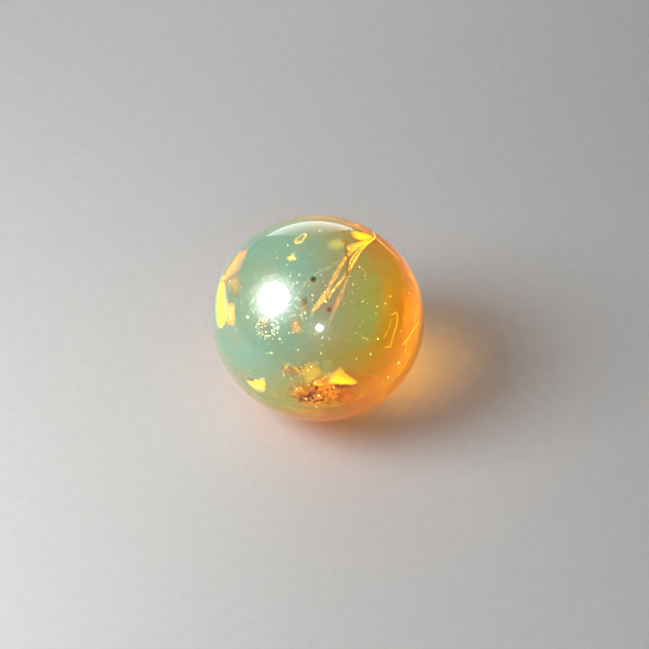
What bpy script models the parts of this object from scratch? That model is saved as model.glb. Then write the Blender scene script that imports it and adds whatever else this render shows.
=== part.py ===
"""A polished ball of amber with an insect, plant fibres and dark grains sealed inside it.

The ball is hand polished, a little longer along one slanting axis, and stands on a small polished
foot. A slanting parting plane runs through what is sealed in it, so the amber is an upper and a
lower part with a pocket around the insect and one around the fibres.

Metres, +Z up. The origin is under the ball's centre, on the surface that it stands on. The
inclusions show best from the -Y side, looking down at about 48 degrees.
"""

import math

import bmesh
import bpy
from mathutils import Matrix, Vector

MM = 0.001

# The ball
BALL_RADIUS = 10.0 * MM
LONG_AXIS = Vector((0.955, -0.219, -0.197)).normalized()
LONG_AXIS_STRETCH = 1.031
FOOT_RADIUS = 2.0 * MM
BALL_SEGMENTS = 56
BALL_RINGS = 36

# The parting plane: how far it leans back from level, and its distance from the ball's centre
PARTING_LEAN = math.radians(32.0)
PARTING_OFFSET = 3.0 * MM
PARTING_GAP = 0.3 * MM

# The pocket around the insect is an ellipsoid, in the parting plane's own directions
INSECT_POCKET_CENTRE = Vector((-0.05, -5.8, 0.0)) * MM
INSECT_POCKET_HALF = Vector((3.85, 2.95, 1.7)) * MM

# The pocket around the fibres is a flat slot with this outline, as deep above the plane as below
FIBRE_POCKET_HALF_DEPTH = 1.1 * MM
FIBRE_POCKET_OUTLINE = (
    (-2.2, -0.6),
    (-2.2, 2.2),
    (1.2, 6.2),
    (4.4, 7.3),
    (5.4, 6.6),
    (3.4, 2.4),
    (1.8, -1.8),
    (0.0, -1.8),
)

# The insect's body runs down and to the right, from its head to the tip of its abdomen
HEAD_CENTRE = Vector((-2.0, -6.85, 0.1)) * MM
HEAD_RADIUS = 0.34 * MM
EYE_RADIUS = 0.17 * MM
THORAX_START = Vector((-1.95, -6.75, 0.1)) * MM
THORAX_END = Vector((-0.45, -6.55, 0.05)) * MM
THORAX_RADIUS = 0.55 * MM
ABDOMEN_START = Vector((-0.85, -6.6, 0.05)) * MM
ABDOMEN_END = Vector((2.15, -7.75, -0.15)) * MM
ABDOMEN_RADIUS = 0.62 * MM
ABDOMEN_SEGMENTS = 6
WING_THICKNESS = 0.14 * MM
LEG_RADIUS = 0.13 * MM
FOOT_TIP_RADIUS = 0.06 * MM

# Outlines of the wings, from the root: right, up the parting plane, and height above it, in mm
RIGHT_WING = (
    (-1.3, -6.35, 0.15),
    (-1.15, -5.85, 0.3),
    (-0.4, -5.2, 0.5),
    (0.55, -4.85, 0.6),
    (1.3, -4.55, 0.75),
    (2.1, -5.05, 0.6),
    (2.75, -5.7, 0.35),
    (2.15, -6.05, 0.3),
    (1.0, -6.35, 0.4),
    (-0.3, -6.55, 0.25),
)
RIGHT_WING_FOLD = (0.75, -5.6, 0.85)
LEFT_WING = (
    (-1.3, -6.3, 0.2),
    (-1.45, -5.05, 0.0),
    (-1.5, -4.2, -0.15),
    (-1.2, -3.8, -0.25),
    (-0.55, -3.7, -0.3),
    (-0.05, -4.2, -0.25),
    (0.25, -4.75, -0.15),
    (-0.7, -6.3, 0.15),
)
LEFT_WING_FOLD = (-0.75, -4.9, 0.05)

# Legs, from the thorax to the foot. The first is the bent one that stands clear of the body
LEGS = {
    "front_left": ((-1.4, -6.4, 0.1), (-1.3, -5.3, 0.55), (-1.65, -4.75, 0.75), (-2.1, -4.4, 0.7),
                   (-2.45, -4.25, 0.5), (-2.75, -4.95, 0.25), (-2.85, -5.3, 0.1)),
    "middle_left": ((-1.6, -6.5, 0.0), (-2.1, -6.05, 0.4), (-2.5, -6.2, 0.1), (-2.75, -6.5, -0.1)),
    "hind_left": ((-0.9, -6.5, -0.2), (-0.5, -5.9, -0.6), (0.1, -5.7, -0.75), (0.6, -6.0, -0.9)),
    "front_right": ((-1.7, -6.9, -0.1), (-2.05, -7.2, -0.4), (-2.1, -6.95, -0.8)),
    "middle_right": ((-1.1, -6.9, -0.1), (-1.15, -7.5, -0.4), (-0.7, -7.85, -0.6)),
    "hind_right": ((-0.6, -6.9, -0.1), (-0.1, -7.55, -0.6), (0.55, -7.8, -0.7)),
}
ANTENNAE = {
    "left_antenna": ((-2.1, -6.8, 0.25), (-2.45, -6.75, 0.5), (-2.85, -6.6, 0.6), (-3.1, -6.3, 0.6)),
    "right_antenna": ((-2.1, -6.95, 0.2), (-2.5, -7.1, 0.4), (-2.75, -7.05, 0.6)),
}
ANTENNA_RADIUS = 0.07 * MM

# Fibres: radius in mm, then the points that each runs through
FIBRES = {
    "gold_fibre": (0.12, ((4.7, 6.65, 0.0), (3.4, 5.3, 0.0), (2.5, 4.4, 0.0), (1.8, 3.55, 0.0),
                          (1.05, 2.15, 0.0), (0.4, 0.8, -0.1), (-0.25, 0.0, -0.15))),
    "bright_fibre": (0.13, ((4.75, 6.3, -0.45), (3.5, 5.0, -0.45), (2.8, 4.0, -0.45), (2.3, 3.15, -0.45),
                            (1.85, 2.45, -0.45), (1.05, 1.5, -0.5), (0.75, 0.9, -0.5))),
    "brown_fibre": (0.15, ((1.8, 5.65, 0.6), (1.95, 4.55, 0.6), (2.1, 3.6, 0.6), (2.15, 2.8, 0.6),
                           (1.95, 1.85, 0.55), (1.6, 0.9, 0.5), (1.2, -0.1, 0.45), (0.75, -1.2, 0.4))),
    "pale_fibre": (0.09, ((1.3, 3.6, -0.3), (0.85, 3.2, -0.3), (0.0, 2.8, -0.35), (-0.75, 2.15, -0.3),
                          (-1.3, 1.5, -0.3))),
    "cream_fibre": (0.1, ((0.95, 1.75, 0.45), (0.5, 1.25, 0.45), (0.15, 0.65, 0.4), (-0.3, 0.05, 0.4),
                          (-0.5, -0.5, 0.35))),
}
FIBRE_SIDES = 6
FIBRE_RINGS_PER_SPAN = 3
FIBRE_END_SHARE = 0.35

# Dark grains: place, and half sizes, in mm
GRAINS = {
    "round_grain": ((-0.35, 2.3, 0.4), (0.26, 0.28, 0.24)),
    "long_grain": ((-0.95, 0.6, 0.25), (0.17, 0.42, 0.17)),
    "red_grain": ((0.8, 0.15, -0.15), (0.14, 0.22, 0.14)),
}


def clear_scene():
    for old in list(bpy.data.objects):
        bpy.data.objects.remove(old)


def make_material(name, colour, roughness, alpha=1.0):
    material = bpy.data.materials.new(name)
    material.use_nodes = True
    shader = material.node_tree.nodes["Principled BSDF"]
    shader.inputs["Base Color"].default_value = (*colour, 1.0)
    shader.inputs["Roughness"].default_value = roughness
    shader.inputs["Metallic"].default_value = 0.0
    shader.inputs["Alpha"].default_value = alpha
    return material


def make_object(name, mesh_data, material, parent=None):
    """Turns a bmesh into a smooth-shaded object, and frees the bmesh."""
    mesh = bpy.data.meshes.new(name)
    bmesh.ops.recalc_face_normals(mesh_data, faces=mesh_data.faces[:])
    mesh_data.to_mesh(mesh)
    mesh_data.free()
    mesh.shade_smooth()
    mesh.set_sharp_from_angle(angle=math.radians(40.0))
    mesh.materials.append(material)
    made = bpy.data.objects.new(name, mesh)
    made.parent = parent
    bpy.context.scene.collection.objects.link(made)
    return made


def hide_helper(helper):
    helper.hide_render = True
    helper.display_type = "WIRE"
    return helper


def add_boolean(target, other, operation):
    modifier = target.modifiers.new(f"{operation.lower()} {other.name}", "BOOLEAN")
    modifier.object = other
    modifier.operation = operation


def level_stretch():
    """The stretch along the long axis, sheared so that the sphere's level rings stay level."""
    stretch = Matrix.Scale(LONG_AXIS_STRETCH, 3, LONG_AXIS)
    square = stretch @ stretch.transposed()
    high = math.sqrt(square[2][2])
    lean_x = square[0][2] / high
    lean_y = square[1][2] / high
    wide = math.sqrt(square[0][0] - lean_x**2)
    twist = (square[0][1] - lean_x * lean_y) / wide
    deep = math.sqrt(square[1][1] - lean_y**2 - twist**2)
    return Matrix(((wide, 0.0, lean_x), (twist, deep, lean_y), (0.0, 0.0, high)))


def foot_depth():
    """How much the polished foot takes off the ball's lowest point."""
    return BALL_RADIUS - math.sqrt(BALL_RADIUS**2 - FOOT_RADIUS**2)


BALL_CENTRE = Vector((0.0, 0.0, BALL_RADIUS * level_stretch()[2][2] - foot_depth()))


def cut_flat(solid, point, normal):
    """Takes off what lies beyond the plane, and closes the cut with one flat face."""
    geometry = solid.verts[:] + solid.edges[:] + solid.faces[:]
    cut = bmesh.ops.bisect_plane(
        solid, geom=geometry, plane_co=point, plane_no=normal, clear_outer=True
    )
    rim = [item for item in cut["geom_cut"] if isinstance(item, bmesh.types.BMEdge)]
    bmesh.ops.contextual_create(solid, geom=rim)


def ball_solid():
    """The whole ball: a stretched sphere that stands on its foot."""
    solid = bmesh.new()
    bmesh.ops.create_uvsphere(
        solid, u_segments=BALL_SEGMENTS, v_segments=BALL_RINGS, radius=BALL_RADIUS
    )
    placed = Matrix.Translation(BALL_CENTRE) @ level_stretch().to_4x4()
    bmesh.ops.transform(solid, matrix=placed, verts=solid.verts[:])
    cut_flat(solid, Vector((0.0, 0.0, 0.0)), Vector((0.0, 0.0, -1.0)))
    return solid


def tube(points, radii, sides):
    """A closed tube through the points, with its own radius at each."""
    solid = bmesh.new()
    rings = []
    across = Vector((0.0, 0.0, 1.0))
    for place, radius in enumerate(radii):
        before = points[max(place - 1, 0)]
        after = points[min(place + 1, len(points) - 1)]
        along = (after - before).normalized()
        side = along.cross(across)
        if side.length < 0.1:
            side = along.cross(Vector((1.0, 0.0, 0.0)))
        side.normalize()
        up = side.cross(along)
        ring = []
        for step in range(sides):
            turn = math.tau * step / sides
            offset = side * math.cos(turn) + up * math.sin(turn)
            ring.append(solid.verts.new(points[place] + offset * radius))
        rings.append(ring)
    for first, second in zip(rings, rings[1:]):
        for step in range(sides):
            following = (step + 1) % sides
            solid.faces.new((first[step], first[following], second[following], second[step]))
    solid.faces.new(reversed(rings[0]))
    solid.faces.new(rings[-1])
    return solid


def smooth_points(points, rings_per_span):
    """Points along a Catmull-Rom curve through the given ones."""
    corners = [Vector(point) * MM for point in points]
    ends = [2 * corners[0] - corners[1], *corners, 2 * corners[-1] - corners[-2]]
    found = []
    for a, b, c, d in zip(ends, ends[1:], ends[2:], ends[3:]):
        for step in range(rings_per_span):
            t = step / rings_per_span
            linear = (c - a) * t
            square = (2 * a - 5 * b + 4 * c - d) * t**2
            cube = (3 * b - a - 3 * c + d) * t**3
            found.append(b + (linear + square + cube) / 2)
    return [*found, corners[-1]]


def turned_body(start, end, radius, ridges, rings, sides):
    """A swollen body between two points, with raised rings around it."""
    points, radii = [], []
    for ring in range(rings + 1):
        share = ring / rings
        swell = max(math.sin(math.pi * (0.04 + 0.92 * share)), 0.0) ** 0.7
        ridge = 1.0 + 0.05 * math.cos(math.tau * ridges * share)
        points.append(start.lerp(end, share))
        radii.append(radius * swell * ridge)
    return tube(points, radii, sides)


def plate(outline, fold, thickness):
    """A thin closed plate: its outline, and one raised point that creases it."""
    solid = bmesh.new()
    lift = Vector((0.0, 0.0, thickness / 2))
    rim = [Vector(point) * MM for point in outline]
    top = [solid.verts.new(point + lift) for point in rim]
    under = [solid.verts.new(point - lift) for point in rim]
    top_fold = solid.verts.new(Vector(fold) * MM + lift)
    under_fold = solid.verts.new(Vector(fold) * MM - lift)
    for first in range(len(rim)):
        second = (first + 1) % len(rim)
        solid.faces.new((top[first], top[second], top_fold))
        solid.faces.new((under[second], under[first], under_fold))
        solid.faces.new((top[second], top[first], under[first], under[second]))
    return solid


def ball_bump(centre, half_sizes, subdivisions):
    """A small closed ellipsoid."""
    solid = bmesh.new()
    bmesh.ops.create_icosphere(solid, subdivisions=subdivisions, radius=1.0)
    scale = Matrix.Diagonal((*half_sizes, 1.0))
    bmesh.ops.transform(solid, matrix=Matrix.Translation(centre) @ scale, verts=solid.verts[:])
    return solid


def make_inclusion_plane():
    """The empty that holds all that is sealed in: its X runs right, its Y up the parting plane."""
    normal = Matrix.Rotation(PARTING_LEAN, 3, "X") @ Vector((0.0, 0.0, 1.0))
    plane = bpy.data.objects.new("inclusion_plane", None)
    plane.location = BALL_CENTRE + normal * PARTING_OFFSET
    plane.rotation_euler = (PARTING_LEAN, 0.0, 0.0)
    bpy.context.scene.collection.objects.link(plane)
    return plane, normal


def make_pockets(plane, material):
    insect_pocket = ball_bump(INSECT_POCKET_CENTRE, INSECT_POCKET_HALF, 3)
    fibre_pocket = bmesh.new()
    floor = [
        fibre_pocket.verts.new((x * MM, y * MM, -FIBRE_POCKET_HALF_DEPTH))
        for x, y in FIBRE_POCKET_OUTLINE
    ]
    base = fibre_pocket.faces.new(floor)
    grown = bmesh.ops.extrude_face_region(fibre_pocket, geom=[base], use_keep_orig=True)
    lifted = [item for item in grown["geom"] if isinstance(item, bmesh.types.BMVert)]
    bmesh.ops.translate(fibre_pocket, verts=lifted, vec=(0.0, 0.0, 2 * FIBRE_POCKET_HALF_DEPTH))
    return (
        hide_helper(make_object("insect_pocket_cutter", insect_pocket, material, plane)),
        hide_helper(make_object("fibre_pocket_cutter", fibre_pocket, material, plane)),
    )


def make_amber(plane, normal, pockets, material):
    """The upper and lower parts of the ball, each parted half the gap away from the plane."""
    half_gap = normal * PARTING_GAP / 2
    for name, point, outward in (
        ("amber_upper", plane.location + half_gap, -normal),
        ("amber_lower", plane.location - half_gap, normal),
    ):
        solid = ball_solid()
        cut_flat(solid, point, outward)
        part = make_object(name, solid, material)
        for pocket in pockets:
            add_boolean(part, pocket, "DIFFERENCE")


def make_insect(plane, material):
    """Abdomen, thorax, head, eyes, wings, legs and antennae, joined in one solid."""
    body = turned_body(ABDOMEN_START, ABDOMEN_END, ABDOMEN_RADIUS, ABDOMEN_SEGMENTS, 24, 14)
    insect = make_object("insect", body, material, plane)
    thorax = turned_body(THORAX_START, THORAX_END, THORAX_RADIUS, 2, 10, 12)
    eye_shift = Vector((-0.08 * MM, 0.24 * MM, 0.12 * MM))
    eye_half = Vector((1.0, 1.0, 1.0)) * EYE_RADIUS
    pieces = {
        "thorax": thorax,
        "head": ball_bump(HEAD_CENTRE, Vector((1.0, 0.95, 0.9)) * HEAD_RADIUS, 2),
        "left_eye": ball_bump(HEAD_CENTRE + eye_shift, eye_half, 2),
        "right_eye": ball_bump(HEAD_CENTRE - eye_shift, eye_half, 2),
        "right_wing": plate(RIGHT_WING, RIGHT_WING_FOLD, WING_THICKNESS),
        "left_wing": plate(LEFT_WING, LEFT_WING_FOLD, WING_THICKNESS),
    }
    for name, points in (*LEGS.items(), *ANTENNAE.items()):
        base_radius = ANTENNA_RADIUS if name in ANTENNAE else LEG_RADIUS
        route = smooth_points(points, 2)
        last = len(route) - 1
        radii = [
            base_radius + (FOOT_TIP_RADIUS - base_radius) * ring / last for ring in range(last + 1)
        ]
        pieces[name] = tube(route, radii, 6)
    for name, solid in pieces.items():
        helper = hide_helper(make_object(f"{name}_shape", solid, material, plane))
        add_boolean(insect, helper, "UNION")


def make_fibres(plane, material):
    """Plant fibres, thickest in the middle, each a piece of its own."""
    for name, (radius, points) in FIBRES.items():
        route = smooth_points(points, FIBRE_RINGS_PER_SPAN)
        last = len(route) - 1
        radii = []
        for ring in range(last + 1):
            swell = math.sin(math.pi * ring / last) ** 0.5 if 0 < ring < last else 0.0
            radii.append(radius * MM * (FIBRE_END_SHARE + (1.0 - FIBRE_END_SHARE) * swell))
        make_object(name, tube(route, radii, FIBRE_SIDES), material, plane)


def make_grains(plane, material):
    for name, (centre, half_sizes) in GRAINS.items():
        solid = ball_bump(Vector(centre) * MM, Vector(half_sizes) * MM, 2)
        make_object(name, solid, material, plane)


def build():
    clear_scene()
    amber = make_material("amber", (0.78, 0.62, 0.24), 0.04, alpha=0.45)
    insect_skin = make_material("insect_skin", (0.42, 0.19, 0.04), 0.45)
    fibre = make_material("fibre", (0.78, 0.55, 0.24), 0.5)
    grain = make_material("dark_grain", (0.08, 0.045, 0.02), 0.7)
    plane, normal = make_inclusion_plane()
    pockets = make_pockets(plane, amber)
    make_amber(plane, normal, pockets, amber)
    make_insect(plane, insect_skin)
    make_fibres(plane, fibre)
    make_grains(plane, grain)


build()
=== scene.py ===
import math
import random

import bpy
from mathutils import Euler, Matrix, Vector


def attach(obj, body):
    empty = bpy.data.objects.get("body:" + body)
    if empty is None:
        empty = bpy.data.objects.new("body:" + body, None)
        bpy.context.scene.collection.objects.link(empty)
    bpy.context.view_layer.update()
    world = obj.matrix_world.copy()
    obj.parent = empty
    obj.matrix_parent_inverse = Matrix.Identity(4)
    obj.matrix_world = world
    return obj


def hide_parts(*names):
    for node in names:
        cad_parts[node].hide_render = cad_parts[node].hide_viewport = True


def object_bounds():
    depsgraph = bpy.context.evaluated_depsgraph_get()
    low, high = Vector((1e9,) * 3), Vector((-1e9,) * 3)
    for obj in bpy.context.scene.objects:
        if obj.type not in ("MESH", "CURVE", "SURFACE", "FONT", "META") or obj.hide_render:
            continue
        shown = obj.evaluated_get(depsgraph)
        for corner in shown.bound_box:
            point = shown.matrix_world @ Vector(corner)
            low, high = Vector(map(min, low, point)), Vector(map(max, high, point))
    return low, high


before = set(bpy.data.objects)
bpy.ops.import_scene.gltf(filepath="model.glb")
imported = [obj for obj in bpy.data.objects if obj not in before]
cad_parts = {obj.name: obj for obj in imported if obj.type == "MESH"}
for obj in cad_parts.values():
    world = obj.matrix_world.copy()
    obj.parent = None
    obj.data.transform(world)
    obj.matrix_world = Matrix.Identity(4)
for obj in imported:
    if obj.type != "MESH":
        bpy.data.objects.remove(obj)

cad_box = [list(corner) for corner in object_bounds()]

# The studio: a pale matt sheet, a round lamp at the upper left whose bright face gives the ball its
# large white highlight, a small one beside the eye, soft strips behind, and a soft sky. The eye
# looks down on the ball at 48 degrees, from 157 mm away.
MM = 0.001
BALL_RADIUS = 10.0 * MM
FOOT_RADIUS = 2.0 * MM
FOOT_DEPTH = BALL_RADIUS - math.sqrt(BALL_RADIUS**2 - FOOT_RADIUS**2)
BALL_CENTRE = Vector((0.0, 0.0, (cad_box[1][2] - FOOT_DEPTH) / 2))
EYE_HEIGHT = math.radians(48.0)
EYE_DISTANCE = 157.2 * MM
RIGHTWARD = Vector((1.0, 0.0, 0.0))
UPWARD = Vector((0.0, math.sin(EYE_HEIGHT), math.cos(EYE_HEIGHT)))
TOWARD_EYE = Vector((0.0, -math.cos(EYE_HEIGHT), math.sin(EYE_HEIGHT)))
LEFT_OF_FRAME_CENTRE = 0.62 * MM

view = bpy.data.cameras.new("eye")
view.lens = 90.0
view.sensor_width = 36.0
view.clip_start = 1.0 * MM
view.clip_end = 20.0
eye = bpy.data.objects.new("eye", view)
bpy.context.scene.collection.objects.link(eye)
eye.location = BALL_CENTRE + TOWARD_EYE * EYE_DISTANCE
looked_at = BALL_CENTRE + (RIGHTWARD - UPWARD) * LEFT_OF_FRAME_CENTRE
eye.rotation_euler = (looked_at - eye.location).to_track_quat("-Z", "Y").to_euler()
bpy.context.scene.camera = eye


def tint(red, green, blue):
    """A colour named as on a paint chart, 0 to 255, in the linear values that a shader takes."""
    linear = []
    for share in (red / 255, green / 255, blue / 255):
        linear.append(share / 12.92 if share <= 0.04045 else ((share + 0.055) / 1.055) ** 2.4)
    return (*linear, 1.0)


class Reading:
    """A number, colour or vector that a finish works out at each point of a surface."""

    def __init__(self, tree, socket=None):
        self.tree = tree
        self.socket = socket

    def node(self, kind, settings=None, sockets=None, output=0):
        made = self.tree.nodes.new(kind)
        for name, value in (settings or {}).items():
            if name == "stops":
                stops = made.color_ramp.elements
                while len(stops) < len(value):
                    stops.new(1.0)
                for stop, (place, colour) in zip(stops, value):
                    stop.position = place
                    stop.color = colour
            else:
                setattr(made, name, value)
        for name, value in (sockets or {}).items():
            if isinstance(value, Reading):
                self.tree.links.new(value.socket, made.inputs[name])
            else:
                made.inputs[name].default_value = value
        return Reading(self.tree, made.outputs[output] if len(made.outputs) else None)

    def maths(self, operation, *values):
        return self.node("ShaderNodeMath", {"operation": operation}, dict(enumerate(values)))

    def __add__(self, other):
        return self.maths("ADD", self, other)

    __radd__ = __add__

    def __sub__(self, other):
        return self.maths("SUBTRACT", self, other)

    def __rsub__(self, other):
        return self.maths("SUBTRACT", other, self)

    def __mul__(self, other):
        return self.maths("MULTIPLY", self, other)

    __rmul__ = __mul__

    def ramp(self, low, high, start=0.0, end=1.0):
        """Rises gently from start to end while this reading goes from low to high."""
        return self.node(
            "ShaderNodeMapRange",
            {"interpolation_type": "SMOOTHSTEP"},
            {"Value": self, "From Min": low, "From Max": high, "To Min": start, "To Max": end},
        )

    def blend(self, first, second):
        """The first colour where this reading is 0, the second where it is 1."""
        return self.node("ShaderNodeMix", {"data_type": "RGBA"}, {0: self, 6: first, 7: second}, 2)


def new_finish(name):
    """An empty material, the reading that its nodes start from, and the place on the piece."""
    material = bpy.data.materials.new(name)
    material.use_nodes = True
    material.node_tree.nodes.clear()
    bare = Reading(material.node_tree)
    return material, bare, bare.node("ShaderNodeTexCoord", output="Object")


def grain(place, scale, detail=3.0, distortion=0.0):
    """Fine cloudy noise, from 0 to 1. The scale is in waves per metre."""
    sockets = {"Vector": place, "Scale": scale, "Detail": detail, "Distortion": distortion}
    return place.node("ShaderNodeTexNoise", {}, sockets)


def deselect():
    bpy.ops.object.select_all(action="DESELECT")


def name_piece(name, material):
    """Names the object that was just added, and gives it its finish."""
    piece = bpy.context.object
    piece.name = name
    piece.data.name = name
    piece.data.materials.clear()
    piece.data.materials.append(material)
    return piece


SHEET_SIZE = 3.0
SHEET_DROP = 0.01 * MM
SHEET_RELIEF = 0.2 * MM
sheet_finish, bare, place = new_finish("pale_matt_sheet")
sheet_bump = bare.node(
    "ShaderNodeBump",
    {},
    {"Strength": 0.12, "Distance": SHEET_RELIEF, "Height": grain(place, 2600.0)},
)
sheet_colour = grain(place, 900.0).blend(tint(200, 199, 197), tint(210, 209, 207))
sheet_shader = bare.node(
    "ShaderNodeBsdfPrincipled",
    {},
    {"Base Color": sheet_colour, "Roughness": 0.75, "Normal": sheet_bump},
)
bare.node("ShaderNodeOutputMaterial", {}, {"Surface": sheet_shader})
deselect()
bpy.ops.mesh.primitive_plane_add(size=SHEET_SIZE, location=(0.0, 0.0, -SHEET_DROP))
sheet = name_piece("sheet", sheet_finish)
bpy.ops.object.transform_apply(location=True, rotation=True, scale=True)

ROUND_LAMP = (-0.658, -0.182, 0.642)
SMALL_LAMP = (0.02, -0.797, 0.617)
ROUND_LAMP_WIDTH = 83.0 * MM
SMALL_LAMP_WIDTH = 27.0 * MM
ROUND_LAMP_DISTANCE = 140.0 * MM
SMALL_LAMP_DISTANCE = 200.0 * MM
FACE_GAP = 1.0 * MM
LAMP_FACE_POWER = 190.0
STRIP_HEIGHT = 17.0 * MM
STRIP_DISTANCE = 160.0 * MM


def add_lamp(name, width, height, power, direction, distance, strip=False):
    """A lamp that faces the ball and is itself out of sight. Power is in watts."""
    light = bpy.data.lights.new(name, "AREA")
    light.shape = "RECTANGLE" if strip else "ELLIPSE"
    light.size = width
    light.size_y = height
    light.energy = power
    lamp = bpy.data.objects.new(name, light)
    bpy.context.scene.collection.objects.link(lamp)
    lamp.location = BALL_CENTRE + Vector(direction).normalized() * distance
    lamp.rotation_euler = (BALL_CENTRE - lamp.location).to_track_quat("-Z", "Y").to_euler()
    lamp.visible_camera = False
    return lamp


for name, width, power, direction, distance in (
    ("round_lamp", ROUND_LAMP_WIDTH, 0.135, ROUND_LAMP, ROUND_LAMP_DISTANCE),
    ("small_lamp", SMALL_LAMP_WIDTH, 0.012, SMALL_LAMP, SMALL_LAMP_DISTANCE),
):
    add_lamp(name, width, width, power, direction, distance)
    face_power = LAMP_FACE_POWER * width**2
    face = add_lamp(name + "_face", width, width, face_power, direction, distance - FACE_GAP)
    face.visible_diffuse = False
    face.visible_transmission = False
for number, (width, power) in enumerate(
    ((0.120, 0.021), (0.112, 0.015), (0.098, 0.009), (0.080, 0.005), (0.060, 0.002))
):
    height = math.radians(3.0 + 6.0 * number)
    behind = (-0.06, math.cos(height), math.sin(height))
    strip = add_lamp(
        f"strip_{number}", width, STRIP_HEIGHT, power, behind, STRIP_DISTANCE, strip=True
    )
    strip.visible_transmission = False

sky = bpy.data.worlds.new("soft_sky")
sky.use_nodes = True
sky.node_tree.nodes["Background"].inputs["Color"].default_value = tint(232, 236, 240)
sky.node_tree.nodes["Background"].inputs["Strength"].default_value = 0.26
bpy.context.scene.world = sky
bpy.context.scene.view_settings.view_transform = "Standard"

# The ball: one clear piece of amber, ground and polished by hand, a little longer along one
# slanting axis, and flat underneath where it stands. Its lit side has the milky blue-green bloom
# that some amber shows in the light, painted in its colour on the side that faces the round lamp,
# and thinner over what is sealed in it. Its right side has a painted orange glow, where the light
# that the ball gathers would fall.
LONG_AXIS = Vector((0.955, -0.219, -0.197))
LONG_AXIS_STRETCH = 1.031
AMBER_INDEX = 1.54


def seen_in_amber(right, up, deep):
    """The real place in the ball of what the eye sees so far right of and above its centre.

    Right and up are in millimetres on the ball's disc, and deep is how far the sight goes on
    through the amber, past its surface. The amber bends the sight, so the place is further in.
    """
    stretch = Matrix.Scale(LONG_AXIS_STRETCH, 3, LONG_AXIS.normalized())
    unstretch = stretch.inverted()
    sight = (RIGHTWARD * right + UPWARD * up) * MM - TOWARD_EYE * EYE_DISTANCE
    sight.normalize()
    start = unstretch @ (TOWARD_EYE * EYE_DISTANCE)
    along = unstretch @ sight
    half = start.dot(along) / along.length_squared
    rest = (start.length_squared - BALL_RADIUS**2) / along.length_squared
    reach = -half - math.sqrt(max(half**2 - rest, 0.0))
    surface = TOWARD_EYE * EYE_DISTANCE + sight * reach
    normal = (unstretch @ (unstretch @ surface)).normalized()
    facing = -normal.dot(sight)
    kept = math.sqrt(1.0 - (1.0 - facing**2) / AMBER_INDEX**2)
    bent = sight / AMBER_INDEX + normal * (facing / AMBER_INDEX - kept)
    return BALL_CENTRE + surface + bent.normalized() * deep * MM


def gap_to_line(place, start, end):
    """How far each point of the finish is from the straight line between two real places."""
    along = end - start
    from_start = place.node("ShaderNodeVectorMath", {"operation": "SUBTRACT"}, {0: place, 1: start})
    slope = along / max(along.length_squared, 1e-12)
    share = from_start.node(
        "ShaderNodeVectorMath", {"operation": "DOT_PRODUCT"}, {0: from_start, 1: slope}, "Value"
    )
    held = share.node("ShaderNodeClamp", {}, {"Value": share})
    nearest = held.node(
        "ShaderNodeVectorMath", {"operation": "SCALE"}, {0: along, "Scale": held}
    )
    return nearest.node(
        "ShaderNodeVectorMath", {"operation": "DISTANCE"}, {0: from_start, 1: nearest}, "Value"
    )


# Painted light: the milky blue-green bloom is painted on the side that faces the round lamp, and an orange
# glow on the right side.
LIT_MILKY_SIDE = (-0.680, -0.276, 0.680)
GLOWING_SIDE = (0.930, -0.278, 0.234)
AMBER_TINT = (0.985, 0.88, 0.05, 1.0)
AMBER_DENSITY = 420.0
CLOUD_DEPTH = 0.26
WISP_DEPTH = 0.24
LEAST_LIT_BLOOM = 0.2
FULLEST_LIT_BLOOM = 0.76
FULLEST_GLOW = 0.55
RAGGED_EDGE = 0.3 * MM
POLISH_DEPTH = 0.0015 * MM

# The painted bloom is thinned around a line on the disc, from its start to its end: clear within the
# first distance from it and as milky as elsewhere beyond the second, all in millimetres, by this share.
CLEAR_PLACES = {
    "fibres": ((5.1, 7.4), (0.4, 1.6), 0.2, 2.2, 0.2),
    "brown_fibre": ((2.6, 7.4), (2.95, 4.3), 0.05, 0.6, 0.35),
    "insect": ((-0.9, -7.5), (2.6, -7.0), 0.6, 2.5, 0.9),
    "raised_leg": ((-3.0, -5.0), (-1.6, -5.2), 0.1, 0.9, 0.42),
    "tan_wing": ((-0.8, -5.0), (-0.2, -6.2), 0.4, 1.3, 0.45),
    "crescent": ((-9.3, 3.4), (-9.3, 0.0), 0.5, 0.9, 0.8),
    "sliver": ((-9.1, 3.9), (-7.6, 6.1), 0.3, 1.1, 0.62),
    "pink_veil": ((-8.4, 3.9), (-7.9, 2.8), 0.1, 1.3, 0.45),
    "chip": ((-8.45, 1.0), (-8.45, -0.3), 0.1, 0.6, 0.6),
    "yellow_chip": ((-6.5, -6.2), (-5.4, -6.3), 0.1, 0.8, 0.65),
    "upper_chip": ((-1.9, 7.45), (-1.25, 8.05), 0.05, 0.5, 0.5),
    "small_chip": ((-2.75, 5.85), (-2.35, 5.85), 0.05, 0.5, 0.5),
    "fans": ((4.2, 7.55), (5.1, 7.6), 0.2, 0.8, 0.8),
    "silver_cluster": ((-5.2, -0.7), (-4.8, -1.3), 0.0, 1.4, 0.3),
    "round_grain": ((-0.45, 3.77), (-0.45, 3.77), 0.12, 0.38, 0.95),
    "long_grain": ((-1.3, 1.7), (-1.25, 1.15), 0.05, 0.45, 0.5),
    "red_grain": ((1.05, 0.75), (1.1, 0.95), 0.05, 0.35, 0.85),
    "rust_smudge": ((-2.15, -0.6), (-2.05, -1.0), 0.1, 1.0, 0.35),
    "brown_smudge": ((-1.6, 1.3), (-1.8, 0.5), 0.1, 1.0, 0.2),
}

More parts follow.
